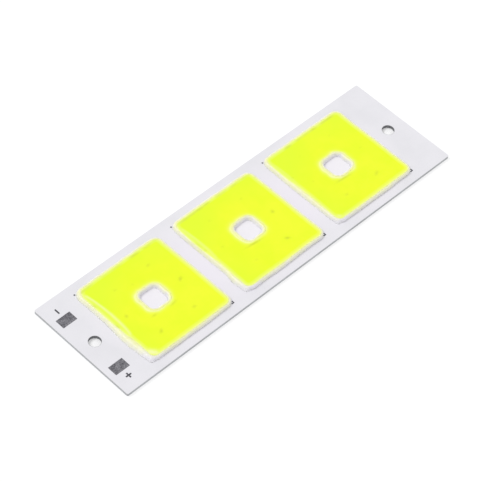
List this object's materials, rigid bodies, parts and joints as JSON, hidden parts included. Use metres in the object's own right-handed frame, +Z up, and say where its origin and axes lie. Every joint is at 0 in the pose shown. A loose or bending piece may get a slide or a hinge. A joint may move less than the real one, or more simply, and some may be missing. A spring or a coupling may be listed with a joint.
{
  "type": "cob led strip",
  "caption": "Flat white aluminium-core light board with square yellow phosphor cells in a row, a screw hole near each end and two solder pads at one end.",
  "frame": {"origin": "middle of the board's underside", "axes": "+X along the board away from the solder pads, +Y towards the negative pad's side, +Z up out of the lit face"},
  "size_m": [0.12, 0.035, 0.0021],
  "materials": {
    "bare_aluminium": "rolled sheet, fine brushed grain",
    "epoxy_film": "thin filled epoxy film",
    "copper_foil": "bare copper under the mask",
    "white_mask": "satin white solder mask",
    "tin_coat": "dull rough tin",
    "dark_ink": "printed legend",
    "white_silicone": "soft satin silicone",
    "phosphor_silicone": "yellow phosphor in clear silicone",
    "chip_crystal": "polished crystal die",
    "gold_wire": "bright thin wire"
  },
  "bodies": {
    "root": {"aluminium_base": "bare_aluminium", "dielectric_layer": "epoxy_film", "negative_bus": "copper_foil", "positive_bus": "copper_foil", "solder_mask": "white_mask", "negative_pad": "tin_coat", "positive_pad": "tin_coat", "minus_mark": "dark_ink", "plus_mark": "dark_ink", "corner_dots": "dark_ink", "cell_links_1": "copper_foil", "outer_dam_1": "white_silicone", "centre_dam_1": "white_silicone", "phosphor_fill_1": "phosphor_silicone", "led_chips_1": "chip_crystal", "bond_wires_1": "gold_wire", "cell_links_2": "copper_foil", "outer_dam_2": "white_silicone", "centre_dam_2": "white_silicone", "phosphor_fill_2": "phosphor_silicone", "led_chips_2": "chip_crystal", "bond_wires_2": "gold_wire", "cell_links_3": "copper_foil", "outer_dam_3": "white_silicone", "centre_dam_3": "white_silicone", "phosphor_fill_3": "phosphor_silicone", "led_chips_3": "chip_crystal", "bond_wires_3": "gold_wire"}
  },
  "joints": []
}
